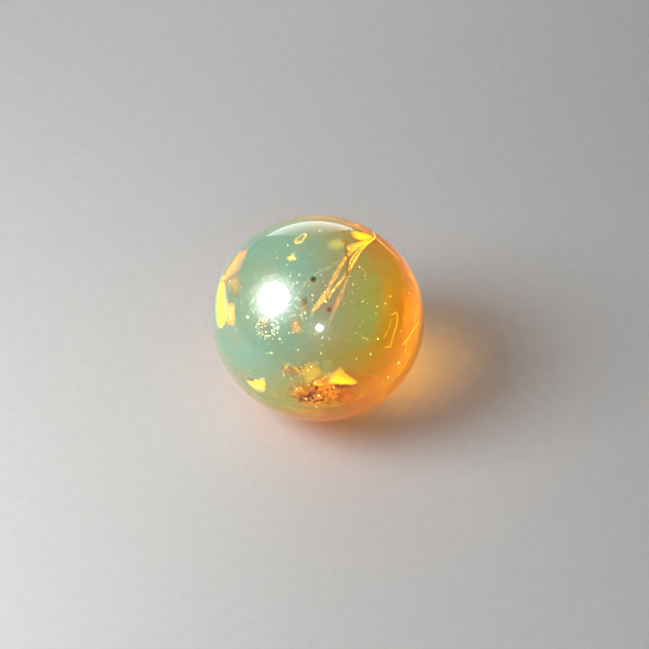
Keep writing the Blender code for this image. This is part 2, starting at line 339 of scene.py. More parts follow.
amber_finish, bare, place = new_finish("amber_with_painted_light")
from_centre = place.node(
    "ShaderNodeVectorMath", {"operation": "SUBTRACT"}, {0: place, 1: BALL_CENTRE}
)
outward = place.node("ShaderNodeVectorMath", {"operation": "NORMALIZE"}, {0: from_centre})
# How far each point faces the lamp-lit side, where the bloom is painted, and the right side, where the glow
# is painted.
toward_lit_side = outward.node(
    "ShaderNodeVectorMath", {"operation": "DOT_PRODUCT"}, {0: outward, 1: LIT_MILKY_SIDE}, "Value"
)
toward_glow = outward.node(
    "ShaderNodeVectorMath", {"operation": "DOT_PRODUCT"}, {0: outward, 1: GLOWING_SIDE}, "Value"
)
clouds = grain(place, 170.0, detail=4.0, distortion=0.6)
wisps = grain(place, 420.0, detail=3.0, distortion=0.4)
lit_milk_reach = toward_lit_side + CLOUD_DEPTH * (clouds - 0.5) + WISP_DEPTH * (wisps - 0.5)
lit_milk_place = 0.375 + 0.625 * lit_milk_reach  # 0 on the clearest side, 1 on the milkiest
# Painted light: the milky share's colour, orange toward the right side where the glow is painted, blue-green
# toward the lamp-lit side.
lit_and_glow_colour = lit_milk_place.node(
    "ShaderNodeValToRGB",
    {
        "stops": (
            (0.16, tint(255, 150, 0)),
            (0.29, tint(225, 115, 0)),
            (0.42, tint(205, 150, 10)),
            (0.57, tint(162, 184, 80)),
            (0.79, tint(130, 184, 136)),
            (0.91, tint(96, 190, 164)),
            (0.98, tint(122, 184, 146)),
        )
    },
    {"Fac": lit_milk_place},
)
# Painted glow: emission, bright orange toward the right side and faint blue-green on the lamp-lit side.
painted_inner_light = lit_milk_place.node(
    "ShaderNodeValToRGB",
    {
        "stops": (
            (0.0, (0.30, 0.10, 0.0, 1.0)),
            (0.16, (0.90, 0.32, 0.0, 1.0)),
            (0.29, (0.62, 0.22, 0.0, 1.0)),
            (0.42, (0.36, 0.21, 0.0, 1.0)),
            (0.57, (0.15, 0.21, 0.04, 1.0)),
            (0.79, (0.08, 0.14, 0.08, 1.0)),
            (1.0, (0.045, 0.14, 0.11, 1.0)),
        )
    },
    {"Fac": lit_milk_place},
)
# Painted light: the bloom's share grows toward the lamp-lit side, and is thinned over what is sealed in the
# amber.
painted_lit_bloom = lit_milk_reach.ramp(-0.25, 0.8, LEAST_LIT_BLOOM, FULLEST_LIT_BLOOM)
for start, end, clear, milky, strength in CLEAR_PLACES.values():
    gap = gap_to_line(place, seen_in_amber(*start, 0.0), seen_in_amber(*end, 0.0))
    ragged_gap = gap + RAGGED_EDGE * (wisps - 0.5)
    painted_lit_bloom = painted_lit_bloom * ragged_gap.ramp(clear * MM, milky * MM, 1 - strength, 1.0)
# Painted glow: an orange share grows toward the right side, patchy with the wisps.
glow = toward_glow.ramp(0.45, 0.98, 0.0, FULLEST_GLOW) * wisps.ramp(0.25, 0.7, 0.65, 1.0)
lit_milk_and_glow_share = painted_lit_bloom + glow
polish = bare.node(
    "ShaderNodeBump",
    {},
    {"Strength": 1.0, "Distance": POLISH_DEPTH, "Height": grain(place, 3600.0, detail=2.0)},
)
scuffs = grain(place, 7000.0, detail=2.0).ramp(0.5, 0.64, 0.4, 1.0) * toward_lit_side.ramp(-0.15, 0.45)
clear_amber = bare.node(
    "ShaderNodeBsdfPrincipled",
    {},
    {
        "Base Color": (1.0, 0.97, 0.90, 1.0),
        "Roughness": 0.015,
        "IOR": AMBER_INDEX,
        "Transmission Weight": 1.0,
        "Normal": polish,
    },
)
# The painted-light share of the surface: lit-side colour, a coat and painted glow, mixed over the clear
# amber.
amber_with_painted_light = bare.node(
    "ShaderNodeBsdfPrincipled",
    {},
    {
        "Base Color": lit_and_glow_colour,
        "Roughness": 0.03,
        "IOR": AMBER_INDEX,
        "Coat Weight": scuffs,
        "Coat Roughness": 0.30,
        "Coat IOR": AMBER_INDEX,
        "Emission Color": painted_inner_light,
        "Emission Strength": 1.0,
        "Normal": polish,
    },
)
amber_surface = lit_milk_and_glow_share.node(
    "ShaderNodeMixShader", {}, {0: lit_milk_and_glow_share, 1: clear_amber, 2: amber_with_painted_light}
)
amber_depth = bare.node(
    "ShaderNodeVolumeAbsorption", {}, {"Color": AMBER_TINT, "Density": AMBER_DENSITY}
)
bare.node("ShaderNodeOutputMaterial", {}, {"Surface": amber_surface, "Volume": amber_depth})

deselect()
bpy.ops.mesh.primitive_ico_sphere_add(subdivisions=7, radius=BALL_RADIUS)
ball = name_piece("amber_ball", amber_finish)
ball.scale = (LONG_AXIS_STRETCH, 1.0, 1.0)
ball.rotation_euler = LONG_AXIS.to_track_quat("X", "Z").to_euler()
ball.location = BALL_CENTRE
bpy.ops.object.transform_apply(location=True, rotation=True, scale=True)
bpy.ops.object.mode_set(mode="EDIT")
bpy.ops.mesh.select_all(action="SELECT")
bpy.ops.mesh.bisect(
    plane_co=(0.0, 0.0, 0.0),
    plane_no=(0.0, 0.0, 1.0),
    threshold=1e-7,
    use_fill=True,
    clear_inner=True,
)
bpy.ops.mesh.select_all(action="SELECT")
bpy.ops.mesh.remove_doubles(threshold=1e-6)
bpy.ops.mesh.normals_make_consistent(inside=False)
bpy.ops.object.mode_set(mode="OBJECT")
bpy.ops.object.shade_smooth_by_angle(angle=math.radians(6.0))
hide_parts("amber_upper", "amber_lower")
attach(ball, "root")

# The insect: a small winged one, caught in the resin with its wings spread and one leg drawn up.
# Its body has gone brown, the wings are thin films, and the light that they all catch is a painted
# glow. Everything is joined in one piece. Its places are in the sloping plane that it lies in.
PLANE_LEAN = math.radians(32.0)
PLANE_OFFSET = 3.0 * MM
LYING_PLANE = (
    Matrix.Translation(BALL_CENTRE)
    @ Matrix.Rotation(PLANE_LEAN, 4, "X")
    @ Matrix.Translation((0.0, 0.0, PLANE_OFFSET))
)
WING_THICKNESS = 0.04 * MM
WING_CROWN = 0.2
LEG_RADIUS = 0.15 * MM
FEELER_RADIUS = 0.07 * MM
EYE_RADIUS = 0.18 * MM
VEIN_RADIUS = 0.022 * MM
HAIR_RADIUS = 0.04 * MM
CRUMB_LIFT = 0.55
BEAD_LIFT = 0.6
RING_DEPTH = 0.07
SKIN_RELIEF = 0.04 * MM
FILM_RIPPLE = 0.02

# A body part is its greatest radius, the points it runs through and its width along them as shares
# of that radius, then its number of rings. Points are right, up and out of the plane, in millimetres.
BODY_PARTS = {
    "abdomen": (
        0.62,
        ((-0.8, -6.6, 0.05), (0.0, -6.8, 0.05), (0.8, -7.15, 0.0), (1.5, -7.5, -0.08), (2.15, -7.75, -0.15)),
        (0.35, 0.95, 1.0, 0.8, 0.2),
        7,
    ),
    "thorax": (
        0.55,
        ((-1.95, -6.78, 0.1), (-1.5, -6.7, 0.12), (-1.0, -6.62, 0.1), (-0.5, -6.55, 0.05)),
        (0.35, 1.0, 1.0, 0.35),
        2,
    ),
    "head": (
        0.36,
        ((-2.35, -6.95, 0.1), (-2.15, -6.9, 0.12), (-1.95, -6.84, 0.1), (-1.8, -6.8, 0.1)),
        (0.3, 1.0, 0.95, 0.4),
        0,
    ),
}
LEG_POINTS = {
    "front_left": ((-1.4, -6.4, 0.1), (-1.3, -5.3, 0.55), (-1.65, -4.75, 0.75), (-2.1, -4.4, 0.7),
                   (-2.45, -4.25, 0.5), (-2.75, -4.95, 0.25), (-2.85, -5.3, 0.1)),
    "middle_left": ((-1.6, -6.5, 0.0), (-2.1, -6.05, 0.4), (-2.5, -6.2, 0.1), (-2.75, -6.5, -0.1)),
    "hind_left": ((-0.9, -6.5, -0.2), (-0.5, -5.9, -0.6), (0.1, -5.7, -0.75), (0.6, -6.0, -0.9)),
    "front_right": ((-1.7, -6.9, -0.1), (-2.05, -7.2, -0.4), (-2.1, -6.95, -0.8)),
    "middle_right": ((-1.1, -6.9, -0.1), (-1.15, -7.5, -0.4), (-0.7, -7.85, -0.6)),
    "hind_right": ((-0.6, -6.9, -0.1), (-0.1, -7.55, -0.6), (0.55, -7.8, -0.7)),
}
FEELER_POINTS = {
    "left_feeler": ((-2.2, -6.8, 0.25), (-2.45, -6.75, 0.5), (-2.85, -6.6, 0.6), (-3.1, -6.3, 0.6)),
    "right_feeler": ((-2.2, -6.95, 0.2), (-2.5, -7.1, 0.4), (-2.75, -7.05, 0.6)),
}
LEG_SHAPE = (1.0, 0.8, 0.95, 0.65, 0.8, 0.5, 0.6)
EYE_CENTRES = {"left_eye": (-2.2, -6.65, 0.22), "right_eye": (-2.04, -7.13, -0.02)}

# Wings, veins, crumbs and beads are given as the eye sees them on the ball's disc, in millimetres:
# right, up and, for a crumb or bead, its radius. A lift is a height above the insect's plane.
RIGHT_WING = (
    (-0.5, -6.2), (0.5, -5.65), (1.3, -5.3), (1.75, -5.0), (2.12, -4.75), (2.55, -5.2), (3.2, -5.8),
    (3.85, -6.2), (3.5, -6.55), (2.6, -6.55), (1.9, -6.5), (1.1, -6.4), (0.3, -6.55), (-0.4, -6.5),
)
RIGHT_WING_LIFT = 0.45
# An orange film over the left part of the right wing, darker than the rest of it.
WING_ORANGE_PATCH = (
    (-0.45, -6.25), (0.2, -5.85), (0.9, -5.6), (1.35, -5.65), (1.2, -6.05), (1.15, -6.45), (0.4, -6.5),
)
WING_ORANGE_PATCH_LIFT = 0.8
LEFT_WING = (
    (-1.7, -4.7), (-1.2, -4.25), (-0.7, -4.0), (-0.2, -3.9), (0.2, -4.5), (0.5, -4.95), (0.8, -5.4),
    (0.15, -5.9), (-0.45, -6.2), (-0.95, -6.8), (-1.5, -6.65), (-1.7, -6.0), (-2.1, -5.6), (-2.0, -5.1),
)
LEFT_WING_LIFT = 0.15
WING_VEINS = (
    (RIGHT_WING_LIFT, (-0.3, -6.3), (0.8, -5.75), (2.1, -5.0)),
    (RIGHT_WING_LIFT, (-0.2, -6.35), (1.3, -5.95), (2.9, -5.75)),
    (RIGHT_WING_LIFT, (-0.1, -6.4), (1.5, -6.2), (3.5, -6.3)),
    (LEFT_WING_LIFT, (-1.2, -6.4), (-1.1, -5.3), (-0.7, -4.2)),
    (LEFT_WING_LIFT, (-1.1, -6.4), (-0.6, -5.4), (0.1, -4.7)),
    (LEFT_WING_LIFT, (-1.3, -6.3), (-1.6, -5.6), (-1.6, -4.9)),
)
FRINGE_HAIRS = 22
FRINGE_START = 3.7
FRINGE_LENGTH = 2.0
DARK_CRUMBS = (
    (-1.75, -7.85, 0.36), (-1.4, -7.98, 0.26), (-1.05, -7.6, 0.3), (-0.75, -7.4, 0.28),
    (-0.55, -7.75, 0.26), (-0.95, -7.95, 0.2), (-0.2, -6.75, 0.26), (0.35, -7.9, 0.3),
    (-0.1, -8.0, 0.22), (-0.4, -8.15, 0.18), (-0.45, -7.25, 0.2), (0.5, -7.6, 0.16),
    (0.9, -7.0, 0.16), (1.35, -6.85, 0.13), (2.3, -7.1, 0.13), (1.95, -7.4, 0.13),
)
PALE_BEADS = (
    (-1.2, -7.8, 0.11), (0.05, -7.5, 0.12), (-0.2, -8.6, 0.11), (-3.06, -4.76, 0.11),
    (-3.3, -5.55, 0.13), (-2.12, -6.9, 0.13), (1.5, -6.75, 0.08), (-1.75, -5.15, 0.07),
)


def seen_on_plane(right, up, lift):
    """The real place, so far above the lying plane, of what is seen at a place on the disc."""
    inward = LYING_PLANE.inverted()
    skin_place = seen_in_amber(right, up, 0.0)
    deeper_place = seen_in_amber(right, up, 1.0)
    skin_lift = (inward @ skin_place).z
    fall = skin_lift - (inward @ deeper_place).z
    return skin_place + (deeper_place - skin_place) * (skin_lift - lift * MM) / fall


def smooth_run(points, steps, closed=False):
    """Points on a smooth line through the given ones."""
    corners = [Vector(point) for point in points]
    if closed:
        ends = [corners[-1], *corners, corners[0], corners[1]]
    else:
        ends = [2 * corners[0] - corners[1], *corners, 2 * corners[-1] - corners[-2]]
    found = []
    for a, b, c, d in zip(ends, ends[1:], ends[2:], ends[3:]):
        for step in range(steps):
            t = step / steps
            square = (2 * a - 5 * b + 4 * c - d) * t**2
            found.append(b + ((c - a) * t + square + (3 * b - a - 3 * c + d) * t**3) / 2)
    return found if closed else [*found, corners[-1]]


def value_along(values, share):
    """Reads a short list of values as one smooth run from its first to its last."""
    place = share * (len(values) - 1)
    low = min(int(place), len(values) - 2)
    t = place - low
    return values[low] + (values[low + 1] - values[low]) * t * t * (3 - 2 * t)


def add_strand(name, points, radius, shape, material, sides=2):
    """A round strand through real places, made from a bevelled curve."""
    deselect()
    bpy.ops.curve.primitive_nurbs_path_add(enter_editmode=False)
    strand = bpy.context.object
    curve = strand.data
    curve.splines.clear()
    spline = curve.splines.new("POLY")
    spline.points.add(len(points) - 1)
    for place, point in enumerate(points):
        spline.points[place].co = (*point, 1.0)
        spline.points[place].radius = value_along(shape, place / (len(points) - 1))
    curve.dimensions = "3D"
    curve.bevel_depth = radius
    curve.bevel_resolution = sides
    curve.use_fill_caps = True
    bpy.ops.object.convert(target="MESH")
    bpy.ops.object.mode_set(mode="EDIT")
    bpy.ops.mesh.select_all(action="SELECT")
    bpy.ops.mesh.remove_doubles(threshold=1e-7)
    bpy.ops.mesh.normals_make_consistent(inside=False)
    bpy.ops.object.mode_set(mode="OBJECT")
    bpy.ops.object.shade_smooth_by_angle(angle=math.radians(50.0))
    return name_piece(name, material)


def add_bead(name, centre, radius, material, detail=2, squash=(1.0, 1.0, 1.0), turn=(0.0, 0.0, 0.0)):
    """A small round or flattened lump at a real place."""
    deselect()
    bpy.ops.mesh.primitive_ico_sphere_add(
        subdivisions=detail, radius=radius, location=centre, rotation=turn
    )
    bead = name_piece(name, material)
    bead.scale = squash
    bpy.ops.object.shade_smooth()
    return bead


def join_pieces(pieces, name):
    """Joins the pieces in one object, which sits at the origin with its place in its mesh."""
    deselect()
    for piece in pieces:
        piece.select_set(True)
    bpy.context.view_layer.objects.active = pieces[0]
    if len(pieces) > 1:
        bpy.ops.object.join()
    whole = bpy.context.object
    bpy.ops.object.transform_apply(location=True, rotation=True, scale=True)
    whole.name = name
    whole.data.name = name
    return whole


def lay_in_plane(point):
    """The real place of a point that is given in millimetres in the insect's plane."""
    return LYING_PLANE @ (Vector(point) * MM)


def add_film(name, outline, middle, thickness, material, ripple, seed):
    """A thin film with this outline of real places, raised or sunk at its middle."""
    deselect()
    bpy.ops.mesh.primitive_circle_add(vertices=len(outline), fill_type="TRIFAN")
    film = name_piece(name, material)
    for corner, point in zip(film.data.vertices, [middle, *outline]):
        corner.co = point
    size = max((point - middle).length for point in outline)
    bpy.ops.object.mode_set(mode="EDIT")
    bpy.ops.mesh.select_all(action="SELECT")
    bpy.ops.mesh.subdivide(number_cuts=3, smoothness=0.1, fractal=ripple * size, seed=seed)
    bpy.ops.mesh.normals_make_consistent(inside=False)
    bpy.ops.object.mode_set(mode="OBJECT")
    wall = film.modifiers.new("wall", "SOLIDIFY")
    wall.thickness = thickness
    wall.offset = 0.0
    bpy.ops.object.modifier_apply(modifier=wall.name)
    bpy.ops.object.shade_smooth_by_angle(angle=math.radians(45.0))
    return film


def glowing_finish(name, bright, dim, glow, roughness=0.35, scale=2000.0):
    """A mottled finish of two colours with a painted glow in its own colour, for the light it catches."""
    finish, bare, place = new_finish(name)
    mottle = grain(place, scale, detail=4.0)
    colour = mottle.ramp(0.35, 0.65).blend(tint(*bright), tint(*dim))
    relief = bare.node(
        "ShaderNodeBump", {}, {"Strength": 0.5, "Distance": SKIN_RELIEF, "Height": mottle}
    )
    shader = bare.node(
        "ShaderNodeBsdfPrincipled",
        {},
        {
            "Base Color": colour,
            "Roughness": roughness,
            "Emission Color": colour,
            "Emission Strength": glow,
            "Normal": relief,
        },
    )
    bare.node("ShaderNodeOutputMaterial", {}, {"Surface": shader})
    return finish


def film_finish(name, bright, dim, glow, solid, fade):
    """A film's finish: bright in the middle, dimmer and worn away toward its rim, with a painted glow."""
    finish, bare, place = new_finish(name)
    on_film = bare.node("ShaderNodeTexCoord", output="UV")
    toward_rim = 2.0 * on_film.node(
        "ShaderNodeVectorMath",
        {"operation": "DISTANCE"},
        {0: on_film, 1: (0.5, 0.5, 0.0)},
        "Value",
    )
    ribs = grain(place, 1500.0, detail=3.0, distortion=1.2)
    worn = toward_rim + 0.8 * (ribs - 0.5)
    colour = worn.ramp(0.2, 0.95).blend(tint(*bright), tint(*dim))
    relief = bare.node(
        "ShaderNodeBump", {}, {"Strength": 0.5, "Distance": SKIN_RELIEF, "Height": ribs}
    )
    shader = bare.node(
        "ShaderNodeBsdfPrincipled",
        {},
        {
            "Base Color": colour,
            "Roughness": 0.25,
            "Alpha": worn.ramp(1.0 - fade, 1.02, solid, 0.0),
            "Emission Color": colour,
            "Emission Strength": glow,
            "Normal": relief,
        },
    )
    bare.node("ShaderNodeOutputMaterial", {}, {"Surface": shader})
    return finish


# Painted glow: every finish made here gives out its own colour, standing in for the light caught.
skin_finish = glowing_finish("brown_insect_skin", (224, 152, 12), (160, 90, 6), 0.5, scale=1700.0)
leg_finish = glowing_finish("brown_leg_skin", (206, 160, 60), (150, 104, 30), 0.8)
crumb_finish = glowing_finish("dark_red_crumb", (160, 70, 8), (110, 42, 4), 0.3)
bead_finish = glowing_finish("pale_bead", (255, 236, 190), (255, 200, 130), 1.6)
vein_finish = glowing_finish("wing_vein", (214, 140, 24), (160, 90, 14), 0.5)
hair_finish = glowing_finish("dark_hair", (120, 44, 4), (70, 24, 2), 0.12)
right_film = film_finish("yellow_wing_film", (255, 240, 54), (250, 190, 26), 0.9, 1.0, 0.08)
orange_patch_film = film_finish("orange_wing_patch", (206, 118, 14), (236, 164, 30), 0.55, 0.9, 0.8)
left_film = film_finish("tan_wing_film", (214, 196, 112), (196, 170, 90), 0.65, 0.8, 0.45)

body_pieces = []
for name, (radius, points, shape, rings) in BODY_PARTS.items():
    run = [lay_in_plane(point) for point in smooth_run(points, 14)]
    ringed = []
    for step in range(len(run)):
        share = step / (len(run) - 1)
        ridge = 1.0 + RING_DEPTH * math.cos(math.tau * rings * share) if rings else 1.0
        ringed.append(value_along(shape, share) * ridge)
    body_pieces.append(add_strand(name, run, radius * MM, ringed, skin_finish, sides=6))
for name, points in LEG_POINTS.items():
    run = [lay_in_plane(point) for point in smooth_run(points, 5)]
    body_pieces.append(add_strand(name, run, LEG_RADIUS, LEG_SHAPE, leg_finish, sides=3))
for name, points in FEELER_POINTS.items():
    run = [lay_in_plane(point) for point in smooth_run(points, 5)]
    body_pieces.append(add_strand(name, run, FEELER_RADIUS, (1.0, 0.8, 0.6), leg_finish))
for name, centre in EYE_CENTRES.items():
    eyeball = add_bead(name, lay_in_plane(centre), EYE_RADIUS, crumb_finish, 3, (1.0, 0.9, 1.15))
    body_pieces.append(eyeball)
for number, (right, up, radius) in enumerate(DARK_CRUMBS):
    wander = random.Random(number)
    turn = [wander.uniform(0, 3) for _ in range(3)]
    centre = seen_on_plane(right, up, CRUMB_LIFT)
    flat = (1.0, wander.uniform(0.5, 0.9), wander.uniform(0.5, 1.0))
    body_pieces.append(add_bead("crumb", centre, radius * MM, crumb_finish, 2, flat, turn))
for number, (right, up, radius) in enumerate(PALE_BEADS):
    wander = random.Random(100 + number)
    turn = [wander.uniform(0, 3) for _ in range(3)]
    centre = seen_on_plane(right, up, BEAD_LIFT)
    flat = (1.0, wander.uniform(0.5, 0.9), wander.uniform(0.4, 0.8))
    body_pieces.append(add_bead("pale_bead", centre, radius * MM, bead_finish, 2, flat, turn))
for lift, *points in WING_VEINS:
    line = smooth_run([(*point, 0.0) for point in points], 5)
    run = [seen_on_plane(point.x, point.y, lift + 0.06) for point in line]
    body_pieces.append(add_strand("vein", run, VEIN_RADIUS, (1.0, 0.8, 0.4), vein_finish, sides=1))
for number in range(FRINGE_HAIRS):
    wander = random.Random(200 + number)
    along = number / (FRINGE_HAIRS - 1)
    right = FRINGE_START - FRINGE_LENGTH * along + wander.uniform(-0.05, 0.05)
    root_place = seen_on_plane(right, -6.4, RIGHT_WING_LIFT + 0.05)
    longest = 0.15 + 0.3 * (FRINGE_START - right)
    tip = (right - wander.uniform(0.1, 0.4), -6.6 - wander.uniform(0.4, 1.0) * longest)
    tip_place = seen_on_plane(*tip, RIGHT_WING_LIFT - 0.05)
    middle = (root_place + tip_place) / 2 + LYING_PLANE.to_3x3() @ Vector((0.0, 0.0, 0.04 * MM))
    hair = [root_place, middle, tip_place]
    body_pieces.append(add_strand("hair", hair, HAIR_RADIUS, (1.0, 0.8, 0.3), hair_finish, sides=0))
for name, outline, lift, finish, seed in (
    ("right_wing", RIGHT_WING, RIGHT_WING_LIFT, right_film, 4),
    ("wing_stain", WING_ORANGE_PATCH, WING_ORANGE_PATCH_LIFT, orange_patch_film, 5),
    ("left_wing", LEFT_WING, LEFT_WING_LIFT, left_film, 7),
):
    rim = smooth_run([(*point, 0.0) for point in outline], 3, closed=True)
    middle = sum(rim, Vector()) / len(rim)
    body_pieces.append(
        add_film(
            name,
            [seen_on_plane(point.x, point.y, lift) for point in rim],
            seen_on_plane(middle.x, middle.y, lift + WING_CROWN),
            WING_THICKNESS,
            finish,
            ripple=FILM_RIPPLE,
            seed=seed,
        )
    )
insect = join_pieces(body_pieces, "winged_insect")
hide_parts("insect")
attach(insect, "root")

# The fibres: fine strands of plant or resin that run down from one point near the upper right,
# each of six fine filaments that part and meet again. Gold, brown and pale.

# A fibre is its points in the insect's plane, its colour, its painted glow, and how far its
# filaments spread at its top and at its foot, in millimetres.
FIBRE_RUNS = {
    "gold_fibre": (
        ((4.7, 6.65, 0.0), (3.4, 5.3, 0.0), (2.5, 4.4, 0.0), (1.8, 3.55, 0.0), (1.05, 2.15, 0.0),
         (0.4, 0.8, -0.1), (-0.25, 0.0, -0.15)),
        (250, 190, 80),
        3.0,
        (0.1, 0.16),
    ),
    "bright_fibre": (
        ((4.75, 6.3, -0.45), (3.5, 5.0, -0.45), (2.8, 4.0, -0.45), (2.3, 3.15, -0.45),
         (1.85, 2.45, -0.45), (1.05, 1.5, -0.5), (0.75, 0.9, -0.5)),
        (255, 200, 60),
        3.4,
        (0.11, 0.13),
    ),
    "brown_fibre": (
        ((1.8, 5.65, 0.6), (2.1, 4.55, 0.6), (2.3, 3.6, 0.6), (2.25, 2.8, 0.6), (1.95, 1.85, 0.55),
         (1.6, 0.9, 0.5), (1.2, -0.1, 0.45), (0.75, -1.2, 0.4)),
        (170, 100, 44),
        0.45,
        (0.07, 0.16),
    ),
    "pale_fibre": (
        ((1.3, 3.6, -0.3), (0.85, 3.2, -0.3), (0.0, 2.8, -0.35), (-0.75, 2.15, -0.3), (-1.3, 1.5, -0.3)),
        (226, 190, 130),
        1.8,
        (0.12, 0.12),
    ),
    "cream_fibre": (
        ((0.95, 1.75, 0.45), (0.5, 1.25, 0.45), (0.15, 0.65, 0.4), (-0.3, 0.05, 0.4), (-0.5, -0.5, 0.35)),
        (240, 210, 140),
        2.6,
        (0.15, 0.15),
    ),
}
FILAMENT_COUNT = 6
FILAMENT_RADIUS = 0.028 * MM
FILAMENT_SHAPE = (0.4, 1.0, 0.9, 1.0, 0.35)
FILAMENT_TWIST = 5.0
FILAMENT_WANDER = 0.02
DARKER = 0.62

for node, (points, colour, glow, (top_spread, foot_spread)) in FIBRE_RUNS.items():
    darker = [channel * DARKER for channel in colour]
    fibre_finish = glowing_finish(node + "_finish", colour, darker, glow, scale=2500.0)
    lower_finish = fibre_finish
    if node == "brown_fibre":
        lower_finish = glowing_finish("brown_fibre_foot", (236, 156, 60), (190, 110, 30), 2.0, scale=2500.0)
    filaments = []
    for strand_number in range(FILAMENT_COUNT):
        wander = random.Random(f"{node} {strand_number}")
        turn = math.tau * strand_number / FILAMENT_COUNT
        run = smooth_run(points, 6)
        laid = []
        for step, point in enumerate(run):
            share = step / (len(run) - 1)
            spread = top_spread + (foot_spread - top_spread) * share
            open_by = spread * (0.3 + math.sin(math.pi * share))
            angle = turn + FILAMENT_TWIST * share
            offset = Vector((math.cos(angle), 0.4 * math.cos(angle), math.sin(angle))) * open_by
            offset += Vector((wander.uniform(-1, 1), wander.uniform(-1, 1), 0.0)) * FILAMENT_WANDER
            laid.append(lay_in_plane(point + offset))
        upper_end = len(laid) * 5 // 8
        if lower_finish is not fibre_finish and strand_number > 0:
            foot = laid[upper_end - 4 * strand_number :]
            filaments.append(add_strand(node, foot, FILAMENT_RADIUS, FILAMENT_SHAPE, lower_finish))
            laid = laid[:upper_end]
        filaments.append(add_strand(node, laid, FILAMENT_RADIUS, FILAMENT_SHAPE, fibre_finish))
    strands = join_pieces(filaments, node + "_strands")
    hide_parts(node)
    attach(strands, "root")

# The dark grains: crumbs of bark and soil, rough and nearly black, the size of a full stop. They
# lie among the fibres. Each is its centre and half sizes in the insect's plane, and its colour.
GRAIN_ROUGHNESS = 0.02 * MM
GRAIN_RELIEF = 0.03 * MM
GRAIN_PLACES = {
    "round_grain": ((-0.35, 2.3, 0.4), (0.24, 0.26, 0.23), (84, 66, 26)),
    "long_grain": ((-0.95, 0.6, 0.25), (0.17, 0.42, 0.17), (104, 78, 46)),
    "red_grain": ((0.8, 0.15, -0.15), (0.14, 0.22, 0.14), (126, 56, 12)),
}

for node, (centre, half_sizes, colour) in GRAIN_PLACES.items():
    grain_finish, bare, place = new_finish(node + "_finish")
    pits = grain(place, 5000.0, detail=4.0)
    lighter = [min(channel * 1.6, 255.0) for channel in colour]
    grain_colour = pits.ramp(0.35, 0.7).blend(tint(*colour), tint(*lighter))
    grain_shader = bare.node(
        "ShaderNodeBsdfPrincipled",
        {},
        {
            "Base Color": grain_colour,
            "Roughness": 0.8,
            "Normal": bare.node(
                "ShaderNodeBump", {}, {"Strength": 0.6, "Distance": GRAIN_RELIEF, "Height": pits}
            ),
        },
    )
    bare.node("ShaderNodeOutputMaterial", {}, {"Surface": grain_shader})
    deselect()
    bpy.ops.mesh.primitive_ico_sphere_add(subdivisions=3, radius=MM)
    crumb = name_piece(node + "_crumb", grain_finish)
    crumb_place = Matrix.Translation(Vector(centre) * MM) @ Matrix.Diagonal((*half_sizes, 1.0))
    crumb.matrix_world = LYING_PLANE @ crumb_place
    bpy.ops.object.transform_apply(location=True, rotation=True, scale=True)
    bpy.ops.object.mode_set(mode="EDIT")
    bpy.ops.mesh.select_all(action="SELECT")
    bpy.ops.transform.vertex_random(offset=GRAIN_ROUGHNESS, uniform=1.0, normal=0.6, seed=3)
    bpy.ops.object.mode_set(mode="OBJECT")
    bpy.ops.object.shade_smooth()
    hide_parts(node)
    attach(crumb, "root")

# Flakes of light: curved cracks in the amber, thin as paper, that seem to throw the light back as
# yellow and orange mirrors by a painted glow, and veils that tint it, with a fainter painted glow.
# They follow the ball's rim, fan out at the upper right, and lie around the insect. Each outline
# is as the eye sees it on the disc, in millimetres.
FLAKE_THICKNESS = 0.03 * MM
FLAKE_CROWN = 0.2
